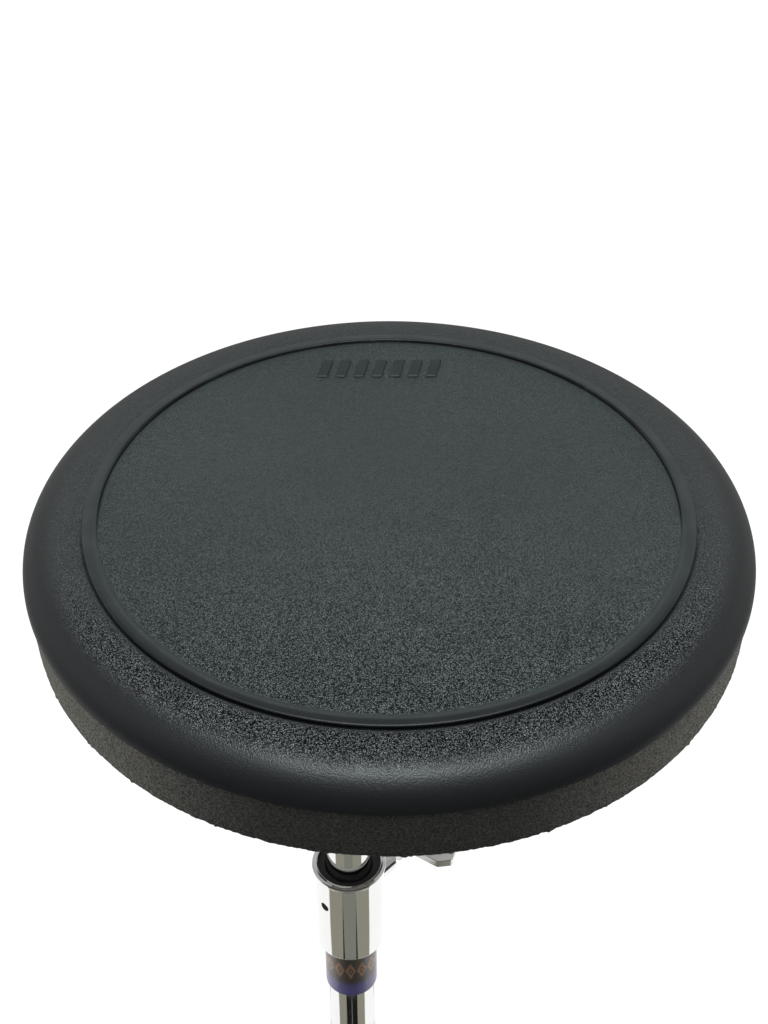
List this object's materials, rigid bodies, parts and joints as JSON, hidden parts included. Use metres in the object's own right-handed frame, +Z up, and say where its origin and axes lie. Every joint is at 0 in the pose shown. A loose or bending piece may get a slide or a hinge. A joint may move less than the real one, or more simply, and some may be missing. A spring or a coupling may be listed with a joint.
{
  "type": "practice pad",
  "caption": "Round rubber drum practice pad on a tilting chrome post with a clamped pipe joint and a folding tripod base.",
  "frame": {"origin": "centre of the playing surface", "axes": "+Z up, -Y towards the player, +X to the player's right; the front leg points to -Y"},
  "size_m": [0.473, 0.4122, 0.6411],
  "materials": {
    "pad_rubber": "fine leather-grain moulded rubber",
    "foam": "closed-cell foam rubber",
    "plywood": "plain board",
    "cast_chrome": "chromed die casting, slightly grainy",
    "zinc_steel": "bright zinc plate",
    "fibre": "vulcanised fibre",
    "black_nylon": "satin black nylon",
    "label": "printed foil sticker, plain pattern",
    "foot_rubber": "matte moulded rubber",
    "chrome": "polished chrome plate"
  },
  "bodies": {
    "base": {"base_tube": "chrome", "joint_housing": "chrome", "nylon_bush": "black_nylon", "label_band": "label", "tube_cap": "black_nylon", "lower_hub": "chrome", "hub_rivet": "zinc_steel", "brace_pins": "zinc_steel"},
    "post": {"post_tube": "chrome", "post_plug": "black_nylon", "tilter_pin": "zinc_steel", "tilter_lower": "cast_chrome", "friction_washer": "fibre", "tilter_bolt": "zinc_steel"},
    "tilt_head": {"tilter_upper": "cast_chrome", "threaded_stud": "zinc_steel"},
    "pad": {"rubber_cover": "pad_rubber", "foam_core": "foam", "base_board": "plywood", "mount_flange": "cast_chrome", "flange_screws": "zinc_steel"},
    "lock_nut_set": {"lock_nut": "zinc_steel", "lock_washer": "zinc_steel"},
    "tilter_wing": {"tilter_wing_nut": "cast_chrome", "tilter_washer": "zinc_steel"},
    "clamp_wing": {"clamp_wing_bolt": "cast_chrome"},
    "collar": {"leg_collar": "chrome", "leg_pins": "zinc_steel"},
    "collar_wing": {"collar_wing_bolt": "cast_chrome"},
    "leg_front": {"leg_front": "chrome", "foot_front": "foot_rubber"},
    "brace_front": {"brace_front_a": "chrome", "brace_front_b": "chrome", "brace_rivets_front": "zinc_steel"},
    "leg_right": {"leg_right": "chrome", "foot_right": "foot_rubber"},
    "brace_right": {"brace_right_a": "chrome", "brace_right_b": "chrome", "brace_rivets_right": "zinc_steel"},
    "leg_left": {"leg_left": "chrome", "foot_left": "foot_rubber"},
    "brace_left": {"brace_left_a": "chrome", "brace_left_b": "chrome", "brace_rivets_left": "zinc_steel"}
  },
  "joints": [
    {"name": "height_slide", "type": "slide", "parent": "base", "child": "post", "axis": [0, 0, 1], "range_m": [-0.05, 0.22]},
    {"name": "pad_tilt", "type": "hinge", "parent": "post", "child": "tilt_head", "pos_m": [-0.017, 0, -0.092], "axis": [1, 0, 0], "range_deg": [-60, 60]},
    {"name": "pad_spin", "type": "hinge", "parent": "tilt_head", "child": "pad", "pos_m": [0, 0, -0.04], "axis": [0, 0, 1], "continuous": true},
    {"name": "lock_nut_turn", "type": "hinge", "parent": "tilt_head", "child": "lock_nut_set", "pos_m": [0, 0, -0.056], "axis": [0, 0, 1], "continuous": true},
    {"name": "tilter_wing_turn", "type": "hinge", "parent": "post", "child": "tilter_wing", "pos_m": [0.013, 0, -0.092], "axis": [1, 0, 0], "continuous": true},
    {"name": "clamp_wing_turn", "type": "hinge", "parent": "base", "child": "clamp_wing", "pos_m": [0.00455, 0.02229, -0.2096], "axis": [0.695, 0.719, 0], "continuous": true},
    {"name": "leg_fold", "type": "slide", "parent": "base", "child": "collar", "axis": [0, 0, 1], "range_m": [0, 0.085]},
    {"name": "collar_wing_turn", "type": "hinge", "parent": "collar", "child": "collar_wing", "pos_m": [-0.017, 0.03, -0.378], "axis": [0, 1, 0], "continuous": true},
    {"name": "leg_front_hinge", "type": "hinge", "parent": "collar", "child": "leg_front", "pos_m": [-0.017, -0.024, -0.378], "axis": [1, 0, 0], "range_deg": [0, 30.12]},
    {"name": "brace_front_hinge", "type": "hinge", "parent": "base", "child": "brace_front", "pos_m": [-0.017, -0.022, -0.56], "axis": [1, 0, 0], "range_deg": [-39.26, 0]},
    {"name": "leg_right_hinge", "type": "hinge", "parent": "collar", "child": "leg_right", "pos_m": [0.00379, 0.012, -0.378], "axis": [-0.5, 0.866, 0], "range_deg": [0, 30.12]},
    {"name": "brace_right_hinge", "type": "hinge", "parent": "base", "child": "brace_right", "pos_m": [0.00205, 0.011, -0.56], "axis": [-0.5, 0.866, 0], "range_deg": [-39.26, 0]},
    {"name": "leg_left_hinge", "type": "hinge", "parent": "collar", "child": "leg_left", "pos_m": [-0.03778, 0.012, -0.378], "axis": [-0.5, -0.866, 0], "range_deg": [0, 30.12]},
    {"name": "brace_left_hinge", "type": "hinge", "parent": "base", "child": "brace_left", "pos_m": [-0.03605, 0.011, -0.56], "axis": [-0.5, -0.866, 0], "range_deg": [-39.26, 0]}
  ],
  "couplings": [
    {"joint": "leg_front_hinge", "follows": "leg_fold", "rad_per_m": 6.081},
    {"joint": "brace_front_hinge", "follows": "leg_fold", "rad_per_m": -7.9582},
    {"joint": "leg_right_hinge", "follows": "leg_fold", "rad_per_m": 6.081},
    {"joint": "brace_right_hinge", "follows": "leg_fold", "rad_per_m": -7.9582},
    {"joint": "leg_left_hinge", "follows": "leg_fold", "rad_per_m": 6.081},
    {"joint": "brace_left_hinge", "follows": "leg_fold", "rad_per_m": -7.9582}
  ]
}
